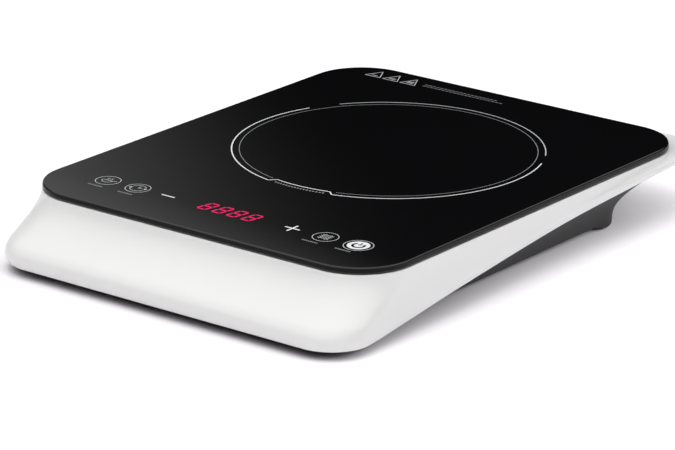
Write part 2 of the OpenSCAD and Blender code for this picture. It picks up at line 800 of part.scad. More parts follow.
module indicator_leds() {
    color([0.9, 0.2, 0.15]) for (x = touch_x) translate([x, touch_y + 11, panel_top])
        block([-1.6, -1.6, 0], [3.2, 3.2, 1.6]);
}

module ribbon_cable() {
    color([0.8, 0.8, 0.8]) translate([-25, 0, 0]) rotate([90, 0, 90]) linear_extrude(14)
        polygon([[-131.5, board_top + 5], [-130.5, board_top + 5], [-130.5, 22],
            [-132.5, 28], [-131.5, 34], [-131.5, panel_z], [-132.5, panel_z],
            [-132.5, 34], [-133.5, 28], [-131.5, 22]]);
}

module display_screws() {
    color([0.75, 0.75, 0.76]) for (p = bracket_ear) at_mirrored(p)
        translate([0, 0, deck_bottom - 3.6]) screw_up(2.8, 2, 1.3, 3.4);
}

module housing_screws() {
    color([0.7, 0.7, 0.72]) for (p = housing_screw_at) at_mirrored(p)
        translate([0, 0, 14]) screw_up(3.4, 2, 1.6, 17);
}

glass_plate();
glass_seal();
upper_housing();
base_shell();
foot_front_left();
foot_front_right();
foot_rear_left();
foot_rear_right();
cord_gland();
mica_sheet();
coil_winding();
coil_former();
ferrite_bars();
coil_springs();
coil_screws();
thermistor();
thermistor_holder();
thermistor_lead();
coil_leads();
main_board();
heatsink();
igbt();
bridge_rectifier();
thermal_pads();
heatsink_screws();
resonant_capacitor();
filter_capacitor();
x_capacitor();
choke_core();
choke_winding();
line_filter_core();
line_filter_windings();
fuse();
varistor();
current_transformer();
electrolytic_capacitors();
smps_transformer();
buzzer();
coil_terminals();
mains_terminals();
driver_chips();
board_connectors();
board_screws();
fan_frame();
fan_stator();
fan_bearing();
fan_rotor();
fan_magnet();
fan_shaft();
fan_screws();
fan_lead();
air_baffle();
display_bracket();
display_board();
digit_display();
touch_springs();
indicator_leds();
ribbon_cable();
housing_screws();
display_screws();
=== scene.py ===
"""Looks of a portable induction cooktop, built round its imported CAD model.

Sizes in this script are millimetres in the model's own frame; add_piece() turns them into metres.
"""
import json
import math

import bmesh
import bpy
import numpy as np
from mathutils import Matrix, Vector


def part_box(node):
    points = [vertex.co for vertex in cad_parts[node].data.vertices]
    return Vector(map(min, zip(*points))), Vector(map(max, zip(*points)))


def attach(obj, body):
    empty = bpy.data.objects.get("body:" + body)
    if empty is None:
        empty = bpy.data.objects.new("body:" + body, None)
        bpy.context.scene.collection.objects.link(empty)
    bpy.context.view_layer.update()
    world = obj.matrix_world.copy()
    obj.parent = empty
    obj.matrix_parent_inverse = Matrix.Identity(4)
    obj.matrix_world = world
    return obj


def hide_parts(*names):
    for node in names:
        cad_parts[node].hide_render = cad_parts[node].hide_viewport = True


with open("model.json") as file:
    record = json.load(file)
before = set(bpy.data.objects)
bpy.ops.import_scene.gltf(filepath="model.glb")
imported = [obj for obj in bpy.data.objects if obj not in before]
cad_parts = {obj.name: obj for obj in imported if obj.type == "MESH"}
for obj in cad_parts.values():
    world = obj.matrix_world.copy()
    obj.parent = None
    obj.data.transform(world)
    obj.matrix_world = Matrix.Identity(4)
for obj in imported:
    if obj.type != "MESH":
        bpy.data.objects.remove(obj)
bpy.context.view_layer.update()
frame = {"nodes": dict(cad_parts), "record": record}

MM = 0.001
HOB = "hob"


def corners(node):
    """Lowest and highest corner of a CAD node, in millimetres."""
    low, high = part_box(node)
    return np.array(low) / MM, np.array(high) / MM


def centre_of(node):
    """Middle of a CAD node's box, in millimetres."""
    low, high = corners(node)
    return (low + high) / 2


GLASS_LOW, GLASS_HIGH = corners("glass_plate")
SHELL_LOW, SHELL_HIGH = corners("upper_housing")
GLASS_W = GLASS_HIGH[0] - GLASS_LOW[0]
GLASS_D = GLASS_HIGH[1] - GLASS_LOW[1]
GLASS_R = 38.0          # corner radius of the glass
GLASS_Y = (GLASS_LOW[1] + GLASS_HIGH[1]) / 2
TOP = GLASS_HIGH[2]
FRONT_FLARE = GLASS_LOW[1] - SHELL_LOW[1]
REAR_FLARE = SHELL_HIGH[1] - GLASS_HIGH[1]
SIDE_FLARE = 5.0        # how far the housing stands out past the glass at the rear of each side
DECK_TOP = SHELL_HIGH[2]
DECK_T = 2.4
DECK_LOW = DECK_TOP - DECK_T
DECK_HOLE = {"front_y": -153, "rear_y": 160, "radius": 20, "half_w": 122}
WALL = 3.0              # thickness of the housing's wall
RIM_DROP = -0.3         # the base's rim lies this much below the housing's edge
ZONE_Y = centre_of("coil_winding")[1]

FLOOR_Z = 5.0           # underside of the base's floor
FLOOR_T = 1.8
FLOOR_FRONT_Y, FLOOR_REAR_Y = -180, 136
FLOOR_FRONT_R, FLOOR_REAR_R = 30, 26
FLOOR_HALF_W = 121
TUB_WALL = 2.4          # thickness of the base's wall
TUB_SWEEP = 2.2         # how late the base's wall turns outward as it rises
FOOT_LOW = 1.4          # underside of the base round each foot
FOOT_H = 3.2            # height of the recess that holds a foot
FEET = ("foot_front_left", "foot_front_right", "foot_rear_left", "foot_rear_right")

POST_TOP = 22.0         # where the base's screw posts meet the housing's bosses
HEAD_SEAT_Z = 17        # where the housing screws' heads sit
POST_RADII = {"housing_screws": 5, "board_screws": 3.6, "fan_screws": 3.6, "coil_screws": 4.8}
POST_TOPS = {"housing_screws": POST_TOP, "board_screws": 11, "fan_screws": 8, "coil_screws": 26}
INTAKE_RADII = (13, 21, 29)
EXHAUST_SLOTS = 22
EXHAUST_PITCH = 7


# ---------------------------------------------------------------- outlines of the two shells

# Each curve runs from the deck's edge (0, 0) to the housing's lower edge, as (outward, downward) shares.
FRONT_CURVE = [[(0, 0), (0.07, 0.25), (0.41, 0.44), (0.85, 0.66)],
               [(0.85, 0.66), (0.965, 0.745), (1, 0.80), (1, 0.87)],
               [(1, 0.87), (1, 0.93), (0.985, 0.975), (0.93, 1)]]
REAR_CURVE = [[(0, 0), (0.13, 0.3), (0.47, 0.5), (0.8, 0.52)],
              [(0.8, 0.52), (0.93, 0.53), (1, 0.6), (1, 0.72)],
              [(1, 0.72), (1, 0.85), (0.99, 1), (0.93, 1)]]
CURVE_STEPS = (22, 12, 8)
SIDE_STEPS = 56
CORNER_STEPS = 20


def smooth(t):
    c = np.clip(t, 0.0, 1.0)
    return c * c * (3 - 2 * c)


def soft_min(a, b, k):
    return np.minimum(a, b) - np.maximum(k - np.abs(a - b), 0) ** 2 / (4 * k)


def soft_max(a, b, k):
    return -soft_min(-a, -b, k)


def bezier(p, t):
    p = np.array(p, float)
    return p[0] * (1 - t) ** 3 + 3 * p[1] * t * (1 - t) ** 2 + 3 * p[2] * t * t * (1 - t) + p[3] * t ** 3


def along(curve):
    points = [bezier(curve[0], 0)]
    for stretch, steps in zip(curve, CURVE_STEPS):
        points += [bezier(stretch, i / steps) for i in range(1, steps + 1)]
    return points


FRONT_POINTS = along(FRONT_CURVE)
REAR_POINTS = along(REAR_CURVE)
EDGE_FRONT_Z = 5.5


def edge_z(y):
    """Height of the housing's lower edge: level in front, rising, then nearly level."""
    steep = 6.6 + 0.126 * (y + 159)
    shallow = 28.6 + 0.06 * (y - 16)
    return soft_max(EDGE_FRONT_Z, soft_min(steep, shallow, 9), 1.5)


def side_x(y, out):
    """Half the housing's width, which grows towards the rear."""
    return GLASS_W / 2 + SIDE_FLARE * out * smooth((y - 20) / 150)


def outline(front_y, rear_y, rf, rr, out, inset):
    """A closed outline, symmetric about the Y axis, with round corners."""
    y0, y1 = front_y + rf, rear_y - rr
    xf, xr = side_x(y0, out) - inset, side_x(y1, out) - inset
    n, m = SIDE_STEPS, CORNER_STEPS
    ys = y0 + (y1 - y0) * np.arange(n + 1) / n
    side = np.stack([side_x(ys, out) - inset, ys], 1)
    a = np.pi / 2 * np.arange(1, m + 1) / m
    rear = np.stack([xr - rr + rr * np.cos(a), y1 + rr * np.sin(a)], 1)
    right = np.concatenate([side, rear])
    front = np.stack([rf - xf - rf * np.cos(a), y0 - rf * np.sin(a)], 1)
    return np.concatenate([right, right[::-1] * (-1, 1), front, front[::-1] * (-1, 1)])


def housing_ring(f, r, inset, top):
    """One ring of the housing, from a point of the front curve and one of the rear curve."""
    plan = outline(GLASS_Y - GLASS_D / 2 - FRONT_FLARE * f[0] + inset,
                   GLASS_Y + GLASS_D / 2 + REAR_FLARE * r[0] - inset,
                   GLASS_R - 11 * f[0] - inset, GLASS_R - 6 * r[0] - inset,
                   r[0], inset + 1.4 * smooth((f[1] - 0.84) / 0.16))
    m = smooth((plan[:, 1] + 100) / 220)
    g = f[1] * (1 - m) + r[1] * m
    return np.column_stack([plan, top - (top - edge_z(plan[:, 1])) * g])


def rim_ring(inset, lift=0.0):
    """The housing's lower edge, moved inward and up."""
    return housing_ring(FRONT_POINTS[-1], REAR_POINTS[-1], inset, DECK_TOP) + (0, 0, lift)


def tongue(y):
    """Height of the base's tongue, which stands inside the housing."""
    return np.minimum(3, 0.18 * (DECK_TOP - edge_z(y)))


def floor_ring(inset, z):
    """One ring of the base's floor."""
    plan = outline(FLOOR_FRONT_Y + inset, FLOOR_REAR_Y - inset, FLOOR_FRONT_R - inset,
                   FLOOR_REAR_R - inset, 0, GLASS_W / 2 - FLOOR_HALF_W + inset)
    return np.column_stack([plan, np.full(len(plan), z)])


def swept(low, high, t):
    """A ring of the base's wall, which rises steeply and then turns outward."""
    ring = low + (high - low) * t
    ring[:, :2] = low[:, :2] + (high[:, :2] - low[:, :2]) * t ** TUB_SWEEP
    return ring


# ---------------------------------------------------------------- mesh making

def ring_faces(count, n, closed):
    """Quads that join each ring of n points to the next one."""
    faces = []
    for k in range(count if closed else count - 1):
        a, b = k * n, ((k + 1) % count) * n
        faces += [(a + i, a + (i + 1) % n, b + (i + 1) % n, b + i) for i in range(n)]
    return faces


def strip_cap(n, offset):
    """Quads across the Y axis that close an outline of n points."""
    half = SIDE_STEPS + CORNER_STEPS
    top = n // 2 + half
    faces = []
    for i in range(half + 1, top):
        a, b = (n + 2 * half + 1 - i) % n, (n + 2 * half - i) % n
        faces.append((offset + i, offset + i + 1, offset + b, offset + a))
    return faces


def add_piece(name, verts, faces, look, slot, body=HOB, replaces=(), sharp=35.0):
    """Makes one mesh piece from points in millimetres, parents it to its body and hides the CAD nodes it
    replaces.
    """
    mesh = bpy.data.meshes.new(name)
    mesh.from_pydata([tuple(v) for v in np.asarray(verts, float) * MM], [], faces)
    mesh.validate()
    piece = bpy.data.objects.new(name, mesh)
    bpy.context.scene.collection.objects.link(piece)
    finish_mesh(piece, sharp)
    mesh.materials.append(look)
    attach(piece, body)
    if replaces:
        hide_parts(*replaces)
    return piece


def finish_mesh(piece, sharp):
    """Merges doubled points, turns the faces outward and shades smooth up to the sharp angle."""
    bm = bmesh.new()
    bm.from_mesh(piece.data)
    bmesh.ops.remove_doubles(bm, verts=bm.verts, dist=1e-7)
    bmesh.ops.recalc_face_normals(bm, faces=bm.faces)
    bm.to_mesh(piece.data)
    bm.free()
    for face in piece.data.polygons:
        face.use_smooth = True
    piece.data.set_sharp_from_angle(angle=math.radians(sharp))


def loft(rings, closed=False, caps="strip"):
    """Skins a row of rings; closed joins the last ring to the first and needs no caps."""
    n = len(rings[0])
    verts = np.concatenate(rings)
    faces = ring_faces(len(rings), n, closed)
    last = (len(rings) - 1) * n
    if not closed and caps == "strip":
        faces += strip_cap(n, 0) + strip_cap(n, last)
    if not closed and caps == "round":
        faces += [tuple(range(n)), tuple(last + i for i in range(n))]
    return verts, faces


def joined(parts):
    """Joins several (verts, faces) pairs into one."""
    verts, faces, start = [], [], 0
    for v, f in parts:
        verts.append(np.asarray(v, float))
        faces += [tuple(start + i for i in face) for face in f]
        start += len(v)
    return np.concatenate(verts), faces


def revolved(profile, centre, steps, axis="z"):
    """Rings from (radius, height) points turned about an axis along Z or Y."""
    rings = []
    for r, h in profile:
        a = 2 * np.pi * np.arange(steps) / steps
        ring = np.stack([r * np.cos(a), r * np.sin(a), np.full(steps, float(h))], 1)
        if axis == "y":
            ring = ring[:, [0, 2, 1]]
        rings.append(ring + np.array(centre))
    return rings


def swept_tube(points, radius, sides):
    """A round tube along points, closed at both ends."""
    p = np.asarray(points, float)
    t = np.gradient(p, axis=0)
    t /= np.linalg.norm(t, axis=1)[:, None]
    s = np.cross(t[0], (0.123, 0.456, 0.88))
    rings = []
    for i in range(len(p)):
        s = s - t[i] * np.dot(s, t[i])
        s /= np.linalg.norm(s)
        u = np.cross(t[i], s)
        a = 2 * np.pi * np.arange(sides) / sides
        ring = radius * (np.cos(a)[:, None] * s + np.sin(a)[:, None] * u)
        rings.append(p[i] + ring)
    return loft(rings, caps="round")


def spline(points, steps=8):
    """A smooth path through the given points."""
    p = np.asarray(points, float)
    p = np.concatenate([[2 * p[0] - p[1]], p, [2 * p[-1] - p[-2]]])
    out = []
    for i in range(1, len(p) - 2):
        for k in range(steps):
            t = k / steps
            a, b, c, d = p[i - 1:i + 3]
            out.append(0.5 * (2 * b + (c - a) * t + (2 * a - 5 * b + 4 * c - d) * t * t
                              + (3 * b - a - 3 * c + d) * t ** 3))
    out.append(p[-2])
    return out


# ---------------------------------------------------------------- materials

def material(name, colour, rough, metal=0.0, spread=0.04, grain=300.0, bump=0.02, coat=0.0,
             fleck=None, streaks=None, specular=0.5):
    """A plastic, rubber or metal with slight colour variation and a fine surface grain.

    Spread is the colour variation, fleck the colour of its lighter spots, and streaks stretches the grain.
    """
    m = bpy.data.materials.new(name)
    m.use_nodes = True
    nodes, links = m.node_tree.nodes, m.node_tree.links
    shader = nodes["Principled BSDF"]
    shader.inputs["Metallic"].default_value = metal
    shader.inputs["Coat Weight"].default_value = coat
    shader.inputs["Coat Roughness"].default_value = 0.05
    shader.inputs["Specular IOR Level"].default_value = specular
    place = nodes.new("ShaderNodeTexCoord")
    stretch = nodes.new("ShaderNodeMapping")
    stretch.inputs["Scale"].default_value = streaks or (1, 1, 1)
    links.new(place.outputs["Object"], stretch.inputs["Vector"])
    broad = nodes.new("ShaderNodeTexNoise")
    broad.inputs["Scale"].default_value = grain * 0.05
    broad.inputs["Detail"].default_value = 3
    fine = nodes.new("ShaderNodeTexNoise")
    fine.inputs["Scale"].default_value = grain * 10
    fine.inputs["Detail"].default_value = 2
    for noise in (broad, fine):
        links.new(stretch.outputs["Vector"], noise.inputs["Vector"])
    ramp = nodes.new("ShaderNodeValToRGB")
    dark = [c * (1 - spread) for c in colour]
    light = [min(1.0, c * (1 + spread)) for c in (fleck or colour)]
    ramp.color_ramp.elements[0].position = 0.35
    ramp.color_ramp.elements[1].position = 0.65
    ramp.color_ramp.elements[0].color = (*dark, 1)
    ramp.color_ramp.elements[1].color = (*light, 1)
    links.new(broad.outputs["Fac"], ramp.inputs["Fac"])
    links.new(ramp.outputs["Color"], shader.inputs["Base Color"])
    gloss = nodes.new("ShaderNodeMapRange")
    gloss.inputs["To Min"].default_value = max(0.02, rough * 0.92)
    gloss.inputs["To Max"].default_value = min(1.0, rough * 1.08)
    links.new(fine.outputs["Fac"], gloss.inputs["Value"])
    links.new(gloss.outputs["Result"], shader.inputs["Roughness"])
    if bump:
        relief = nodes.new("ShaderNodeBump")
        relief.inputs["Strength"].default_value = bump
        relief.inputs["Distance"].default_value = 0.0002
        links.new(fine.outputs["Fac"], relief.inputs["Height"])
        links.new(relief.outputs["Normal"], shader.inputs["Normal"])
    return m


def glowing(name, colour, strength):
    """A surface that also gives off its own colour."""
    m = material(name, colour, 0.3, bump=0)
    shader = m.node_tree.nodes["Principled BSDF"]
    shader.inputs["Emission Color"].default_value = (*colour, 1)
    shader.inputs["Emission Strength"].default_value = strength
    return m


def add_relief(m, texture, settings, strength, depth):
    """Lays a second, coarser relief under a material's fine grain."""
    nodes, links = m.node_tree.nodes, m.node_tree.links
    shader = nodes["Principled BSDF"]
    place = nodes.new("ShaderNodeTexCoord")
    pattern = nodes.new(texture)
    for name, value in settings.items():
        if name in pattern.inputs:
            pattern.inputs[name].default_value = value
        else:
            setattr(pattern, name, value)
    relief = nodes.new("ShaderNodeBump")
    relief.inputs["Strength"].default_value = strength
    relief.inputs["Distance"].default_value = depth
    links.new(place.outputs["Object"], pattern.inputs["Vector"])
    links.new(pattern.outputs["Fac" if "Fac" in pattern.outputs else "Distance"], relief.inputs["Height"])
    fine = next((n for n in nodes if n.type == "BUMP" and n is not relief), None)
    if fine:
        links.new(relief.outputs["Normal"], fine.inputs["Normal"])
    else:
        links.new(relief.outputs["Normal"], shader.inputs["Normal"])
    return m


def litz_wire():
    """Enamelled copper strands twisted into one bundle."""
    m = material("copper_wire", (0.50, 0.20, 0.07), 0.34, metal=1.0, spread=0.18, grain=900, bump=0.1,
                 fleck=(0.66, 0.30, 0.12))
    strands = {"Scale": 260.0, "Distortion": 0.6, "bands_direction": "DIAGONAL"}
    return add_relief(m, "ShaderNodeTexWave", strands, 0.7, 0.0004)


def circuit_board():
    """Green solder mask over a net of copper tracks."""
    m = material("green_board", (0.012, 0.075, 0.028), 0.38, spread=0.1, grain=500, bump=0.03)
    nodes, links = m.node_tree.nodes, m.node_tree.links
    shader = nodes["Principled BSDF"]
    place = nodes.new("ShaderNodeTexCoord")
    tracks = nodes.new("ShaderNodeTexBrick")
    tracks.inputs["Scale"].default_value = 95.0
    tracks.inputs["Mortar Size"].default_value = 0.07
    tracks.inputs["Color1"].default_value = (0.010, 0.060, 0.022, 1)
    tracks.inputs["Color2"].default_value = (0.014, 0.085, 0.032, 1)
    tracks.inputs["Mortar"].default_value = (0.035, 0.17, 0.055, 1)
    links.new(place.outputs["Object"], tracks.inputs["Vector"])
    links.new(tracks.outputs["Color"], shader.inputs["Base Color"])
    return m


def housing_plastic():
    """Moulded housing plastic: satin, with the faintest mould texture."""
    return material("white_housing", (0.77, 0.775, 0.765), 0.34, spread=0.004, grain=400, bump=0.03,
                    coat=0.15)


def moulded_dark(name, colour, rough):
    """Dark moulded plastic with a leathery grain."""
    m = material(name, colour, rough, spread=0.1, grain=220, bump=0.25)
    return add_relief(m, "ShaderNodeTexVoronoi", {"Scale": 1400.0}, 0.12, 0.0002)


def wound(name, colour, rough, turns):
    """Tape, tracks or wire laid in even bands."""
    m = material(name, colour, rough, spread=0.08, grain=500, bump=0.04)
    return add_relief(m, "ShaderNodeTexWave", {"Scale": turns, "bands_direction": "Z"}, 0.35, 0.0003)


MATERIALS = {
    "black_glass": material("black_glass", (0.004, 0.004, 0.0045), 0.06, bump=0, grain=40),
    "glass_edge": material("glass_edge", (0.006, 0.0055, 0.005), 0.3, bump=0, grain=40, specular=0.12),
    "white_print": material("white_print", (0.78, 0.79, 0.80), 0.45, bump=0),
    "soft_print": material("soft_print", (0.50, 0.51, 0.52), 0.45, bump=0),
    "grey_print": material("grey_print", (0.24, 0.245, 0.25), 0.45, bump=0),
    "red_digit": glowing("red_digit", (0.50, 0.002, 0.075), 0.68),
    "seal_silicone": material("seal_silicone", (0.02, 0.02, 0.02), 0.7, bump=0.1),
    "white_housing": housing_plastic(),
    "dark_base": moulded_dark("dark_base", (0.032, 0.033, 0.034), 0.6),
    "foot_rubber": material("foot_rubber", (0.022, 0.022, 0.023), 0.8, spread=0.15, bump=0.2),
    "gland_plastic": moulded_dark("gland_plastic", (0.02, 0.02, 0.021), 0.55),
    "mica": material("mica", (0.55, 0.50, 0.38), 0.5, spread=0.1, grain=260, bump=0.05,
                     fleck=(0.68, 0.64, 0.52)),
    "copper_wire": litz_wire(),
    "dark_plastic": moulded_dark("dark_plastic", (0.045, 0.045, 0.05), 0.5),
    "ferrite": material("ferrite", (0.045, 0.046, 0.05), 0.72, spread=0.2, grain=600, bump=0.15,
                        fleck=(0.09, 0.09, 0.1)),
    "spring_steel": material("spring_steel", (0.55, 0.55, 0.57), 0.28, metal=1.0, grain=500,
                             streaks=(1, 1, 8)),
    "screw_steel": material("screw_steel", (0.58, 0.58, 0.60), 0.3, metal=1.0, grain=500, bump=0.06),
    "sensor_ceramic": material("sensor_ceramic", (0.72, 0.70, 0.64), 0.55, spread=0.06, bump=0.05),
    "white_plastic": material("white_plastic", (0.72, 0.72, 0.70), 0.42, spread=0.02, bump=0.03),
    "white_sleeve": wound("white_sleeve", (0.74, 0.74, 0.72), 0.7, 420),
    "red_sleeve": wound("red_sleeve", (0.45, 0.03, 0.02), 0.5, 420),
    "green_board": circuit_board(),
    "raw_aluminium": material("raw_aluminium", (0.66, 0.67, 0.69), 0.36, metal=1.0, spread=0.06,
                              grain=300, bump=0.08, streaks=(14, 1, 1)),
    "chip_plastic": material("chip_plastic", (0.02, 0.02, 0.021), 0.5, spread=0.2, grain=900, bump=0.1),
    "thermal_pad": material("thermal_pad", (0.42, 0.42, 0.52), 0.75, spread=0.08, bump=0.1),
    "film_capacitor": material("film_capacitor", (0.50, 0.36, 0.05), 0.3, spread=0.05, bump=0.02),
    "yellow_capacitor": material("yellow_capacitor", (0.70, 0.52, 0.06), 0.4, spread=0.04, bump=0.03),
    "powder_core": material("powder_core", (0.62, 0.52, 0.08), 0.5, spread=0.08, grain=600, bump=0.12),
    "fuse_ceramic": material("fuse_ceramic", (0.74, 0.74, 0.70), 0.35, spread=0.03, bump=0.02),
    "blue_coating": material("blue_coating", (0.03, 0.07, 0.30), 0.35, spread=0.08, bump=0.06),
    "can_sleeve": material("can_sleeve", (0.025, 0.035, 0.12), 0.28, spread=0.05, bump=0.02, coat=0.3),
    "transformer_tape": wound("transformer_tape", (0.62, 0.52, 0.08), 0.38, 300),
    "black_plastic": moulded_dark("black_plastic", (0.018, 0.018, 0.02), 0.42),
    "terminal_brass": material("terminal_brass", (0.66, 0.44, 0.15), 0.3, metal=1.0, grain=500,
                               streaks=(1, 6, 1)),
    "tinned_metal": material("tinned_metal", (0.64, 0.64, 0.65), 0.34, metal=1.0, spread=0.08),
    "ivory_plastic": material("ivory_plastic", (0.74, 0.69, 0.56), 0.45, spread=0.03, bump=0.03),
    "bearing_bronze": material("bearing_bronze", (0.48, 0.30, 0.12), 0.45, metal=1.0, spread=0.15,
                               grain=900, bump=0.12),
    "display_black": material("display_black", (0.012, 0.012, 0.012), 0.25, bump=0.02),
    "led_red": material("led_red", (0.45, 0.02, 0.02), 0.2, spread=0.06, bump=0, coat=0.4),
    "ribbon_grey": wound("ribbon_grey", (0.50, 0.50, 0.52), 0.55, 500),
}


# ---------------------------------------------------------------- housing, glass, base, feet

def make_housing():
    """The white shell with its deck, and the bosses that the housing screws bite into."""
    outer = [housing_ring((0, 0), (0, 0), 0.9, DECK_TOP), housing_ring((0, 0), (0, 0), 0.25, DECK_TOP)]
    outer[1][:, 2] -= 0.12
    for i, (f, r) in enumerate(zip(FRONT_POINTS, REAR_POINTS)):
        ring = housing_ring(f, r, 0, DECK_TOP)
        if i == 0:
            ring[:, 2] -= 0.5
        outer.append(ring)
    outer[-1] = rim_ring(0, 0.7)
    outer.append(rim_ring(0.25, 0.2))
    outer.append(rim_ring(0.8))
    inner = [rim_ring(WALL)]
    inner += [housing_ring(f, r, WALL, DECK_LOW) for f, r in list(zip(FRONT_POINTS, REAR_POINTS))[::-3]]
    hole = outline(DECK_HOLE["front_y"], DECK_HOLE["rear_y"], DECK_HOLE["radius"], DECK_HOLE["radius"],
                   0, GLASS_W / 2 - DECK_HOLE["half_w"])
    deck = [np.column_stack([hole, np.full(len(hole), z)]) for z in (DECK_LOW, DECK_TOP)]
    shell = loft(outer + inner + deck, closed=True)
    piece = add_piece("housing_shell", *shell, MATERIALS["white_housing"], "white_housing",
                      replaces=["upper_housing"], sharp=40)
    limit = SHELL_HIGH[0] * MM          # the CAD's widest point, which the finer rings would pass
    for v in piece.data.vertices:
        v.co.x = max(-limit, min(limit, v.co.x))
    bosses, webs, pilots = [], [], []
    buried = DECK_LOW + 1               # bosses and webs end inside the deck
    for x, y in screw_places("housing_screws"):
        wall_x = math.copysign(126, x)
        bosses.append(cylinder_mesh(4.6, (x, y, POST_TOP), (x, y, buried)))
        webs.append(box_mesh((min(x, wall_x), y - 3, DECK_LOW - 5), (max(x, wall_x), y + 3, buried)))
        pilots.append(cylinder_mesh(1.6, (x, y, POST_TOP - 1), (x, y, POST_TOP + 13)))
    apply_boolean(piece, bosses, "UNION")
    apply_boolean(piece, webs, "UNION")
    apply_boolean(piece, pilots, "DIFFERENCE")
    finish_mesh(piece, 40)


def plate_ring(inset, z):
    """One ring of the glass plate."""
    plan = outline(GLASS_LOW[1] + inset, GLASS_HIGH[1] - inset, GLASS_R - inset, GLASS_R - inset, 0, inset)
    return np.column_stack([plan, np.full(len(plan), z)])


PRINT_T = 0.03                 # thickness of the prints
FACE = TOP - PRINT_T           # the glass surface; the prints stand on it up to the CAD top
PRINT_LOW = FACE - 0.02        # the prints reach this far down into the glass


def make_glass():
    """The glass plate with a ground edge, which is duller than its face."""
    low = GLASS_LOW[2]
    profile = [(0.9, low), (0.3, low + 0.15), (0.0, low + 0.6), (0.0, FACE - 0.95), (0.08, FACE - 0.7),
               (0.62, FACE - 0.16), (0.85, FACE - 0.03), (1.2, FACE)]
    glass = add_piece("glass_top", *loft([plate_ring(i, z) for i, z in profile]),
                      MATERIALS["black_glass"], "black_glass", replaces=["glass_plate"], sharp=30)
    glass.data.materials.append(MATERIALS["glass_edge"])
    for face in glass.data.polygons:
        if abs(face.normal.z) < 0.3:
            face.material_index = 1


def make_base():
    """The dark tub: floor, swept wall and the tongue that stands inside the housing."""
    outer_rim, ledge = rim_ring(0.8, RIM_DROP), rim_ring(3.4, RIM_DROP)
    tongue_out, tongue_in = rim_ring(3.4, RIM_DROP), rim_ring(5, RIM_DROP)
    lift = tongue(tongue_in[:, 1])
    tongue_out[:, 2] += lift
    tongue_in[:, 2] += lift
    steps = np.linspace(0, 1, 25)
    outer_floor, inner_floor = floor_ring(0, FLOOR_Z), floor_ring(TUB_WALL, FLOOR_Z + FLOOR_T)
    rings = [floor_ring(i, FLOOR_Z) for i in (24, 20, 16, 13, 10, 8, 6, 4.5, 3, 2, 1.2, 0.6)]
    rings += [outer_floor] + [swept(outer_floor, outer_rim, t) for t in steps[1:]]
    rings = [foot_bulge(r) for r in rings]
    rings += [ledge, tongue_out] + [swept(inner_floor, tongue_in, t) for t in steps[::-2]]
    piece = add_piece("base_tub", *loft(rings), MATERIALS["dark_base"], "dark_base",
                      replaces=["base_shell"], sharp=40)
    cut_base(piece)
    return piece


def foot_bulge(ring):
    """Draws the skin of the base down into a rounded boss round each foot."""
    out = ring.copy()
    for foot in FEET:
        c = centre_of(foot)
        d = np.hypot(ring[:, 0] - c[0], ring[:, 1] - c[1])
        fall = 1 - smooth((d - 10.2) / 5.5)
        near = np.clip(1 - (ring[:, 2] - FLOOR_Z) / 9, 0, 1)
        out[:, 2] -= (FLOOR_Z - FOOT_LOW) * fall * near ** 1.5
    return out


def cylinder_mesh(radius, low, high, steps=40, axis="z"):
    """A cylinder between two points that lie on one line along Z or Y."""
    profile = [(radius, low[2 if axis == "z" else 1]), (radius, high[2 if axis == "z" else 1])]
    centre = (low[0], low[1], 0) if axis == "z" else (low[0], 0, low[2])
    return loft(revolved(profile, centre, steps, axis), caps="round")


def box_mesh(low, high):
    x0, y0, z0 = low
    x1, y1, z1 = high
    verts = [(x, y, z) for z in (z0, z1) for y in (y0, y1) for x in (x0, x1)]
    faces = [(0, 2, 3, 1), (4, 5, 7, 6), (0, 1, 5, 4), (2, 6, 7, 3), (0, 4, 6, 2), (1, 3, 7, 5)]
    return np.array(verts, float), faces


def apply_boolean(piece, parts, operation):
    """Adds or cuts a group of separate closed solids."""
    tool_mesh = bpy.data.meshes.new("tool")
    verts, faces = joined(parts)
    tool_mesh.from_pydata([tuple(v) for v in verts * MM], [], faces)
    tool = bpy.data.objects.new("tool", tool_mesh)
    bpy.context.scene.collection.objects.link(tool)
    bm = bmesh.new()
    bm.from_mesh(tool_mesh)
    bmesh.ops.recalc_face_normals(bm, faces=bm.faces)
    bm.to_mesh(tool_mesh)
    bm.free()
    modifier = piece.modifiers.new("cut", "BOOLEAN")
    modifier.object = tool
    modifier.operation = operation
    modifier.solver = "EXACT"
    modifier.use_self = False
    bpy.context.view_layer.update()
    result = bpy.data.meshes.new_from_object(piece.evaluated_get(bpy.context.evaluated_depsgraph_get()))
    piece.modifiers.clear()
    old = piece.data
    piece.data = result
    bpy.data.meshes.remove(old)
    bpy.data.objects.remove(tool)
    bpy.data.meshes.remove(tool_mesh)


def arc_slot(centre, r0, r1, a0, a1, z0, z1, steps=10):
    """A curved slot cutter between two radii and two angles, in degrees."""
    a = np.radians(np.linspace(a0, a1, steps))
    plan = [(r1 * math.cos(t), r1 * math.sin(t)) for t in a]
    plan += [(r0 * math.cos(t), r0 * math.sin(t)) for t in a[::-1]]
    plan = np.array(plan) + centre
    n = len(plan)
    verts = np.concatenate([np.column_stack([plan, np.full(n, z)]) for z in (z0, z1)])
    return verts, ring_faces(2, n, False) + [tuple(range(n)), tuple(n + i for i in range(n))]


